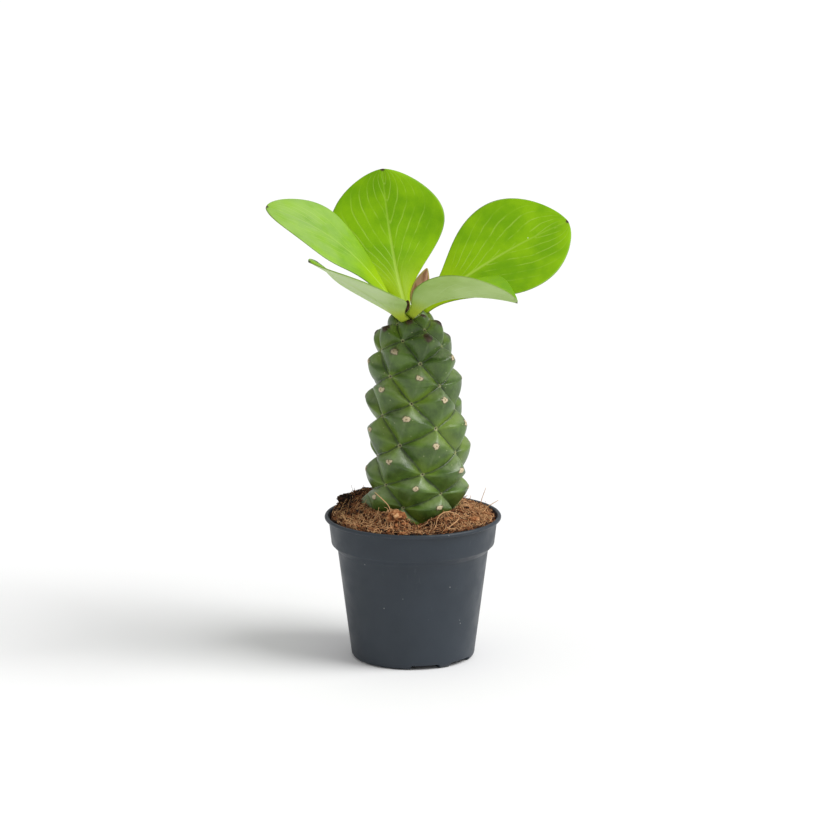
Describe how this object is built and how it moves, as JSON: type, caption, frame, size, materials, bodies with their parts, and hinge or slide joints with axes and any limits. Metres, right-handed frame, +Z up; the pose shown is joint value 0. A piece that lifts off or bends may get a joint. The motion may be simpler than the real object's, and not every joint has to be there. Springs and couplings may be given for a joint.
{
  "type": "potted euphorbia",
  "caption": "Small tubercled succulent stem with a tuft of broad green leaves, standing in coir mix in a round plastic nursery pot.",
  "frame": {"origin": "centre of the pot's underside, on its central pad, level with the feet", "axes": "+Z up along the pot's axis; -Y is the front seen in the reference view; +X is to the viewer's right"},
  "size_m": [0.1023, 0.0737, 0.1641],
  "materials": {
    "pot_plastic": "satin injection-moulded plastic, dusty",
    "coir_mix": "loose damp coir and bark fragments",
    "stem_skin": "waxy succulent skin with corky leaf scars",
    "leaf_skin": "smooth waxy leaf, paler beneath",
    "bract_skin": "thin papery young leaf",
    "dried_scale": "dry and brittle",
    "bark": "rough bark",
    "coir_lump": "matted coir pith",
    "coir_fibre": "dry fibre"
  },
  "bodies": {
    "root": {"pot": "pot_plastic", "potting_mix": "coir_mix", "stem": "stem_skin", "young_leaf": "bract_skin", "dried_scale_left": "dried_scale", "dried_scale_middle": "dried_scale", "bark_chunk_left": "bark", "bark_chunk_back": "bark", "coir_chunk_front": "coir_lump", "coir_chunk_right": "coir_lump", "coir_fibre_arc": "coir_fibre", "coir_fibre_front": "coir_fibre", "coir_fibre_left": "coir_fibre", "coir_fibre_upright": "coir_fibre", "coir_fibre_right": "coir_fibre", "leaf_back": "leaf_skin", "leaf_left": "leaf_skin", "leaf_front_left": "leaf_skin", "leaf_right": "leaf_skin", "leaf_front_right": "leaf_skin"}
  },
  "joints": []
}
